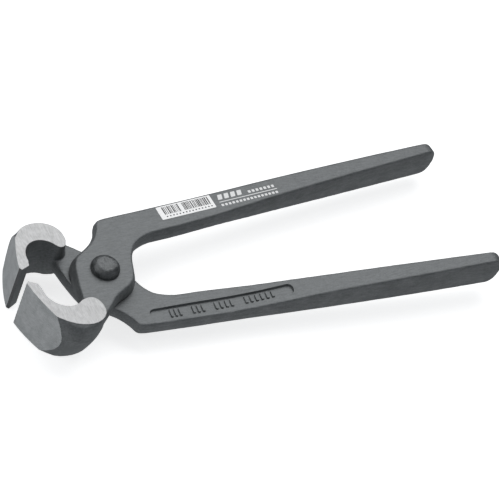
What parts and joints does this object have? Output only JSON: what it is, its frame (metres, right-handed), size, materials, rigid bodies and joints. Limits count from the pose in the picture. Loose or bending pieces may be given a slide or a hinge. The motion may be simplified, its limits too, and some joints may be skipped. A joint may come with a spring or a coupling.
{
  "type": "carpenter's pincers",
  "caption": "Forged steel carpenter's pincers: two crossed levers on a domed rivet, with wide hooked jaws that meet at a cutting edge to grip and pull nails or cut wire.",
  "frame": {"origin": "under the middle of the tool's box, on the plane its lowest point touches when the two levers lie level", "axes": "+X from the jaws to the handle ends, +Z along the rivet out of its domed head, +Y towards the handle of the front lever"},
  "size_m": [0.2086, 0.0684, 0.0238],
  "materials": {
    "forged_steel": "dark forged skin on handles and jaw backs, bright ground jaw faces",
    "rivet_steel": "blackened, satin",
    "label_foil": "light grey printed foil with plain bars"
  },
  "bodies": {
    "rear": {"rear_lever": "forged_steel"},
    "front": {"front_lever": "forged_steel", "rivet": "rivet_steel", "label": "label_foil"}
  },
  "joints": [
    {"name": "rivet_pivot", "type": "hinge", "parent": "rear", "child": "front", "pos_m": [-0.0679, -0.00161, 0.01189], "axis": [0, 0, 1], "range_deg": [-8.4, 36]}
  ]
}
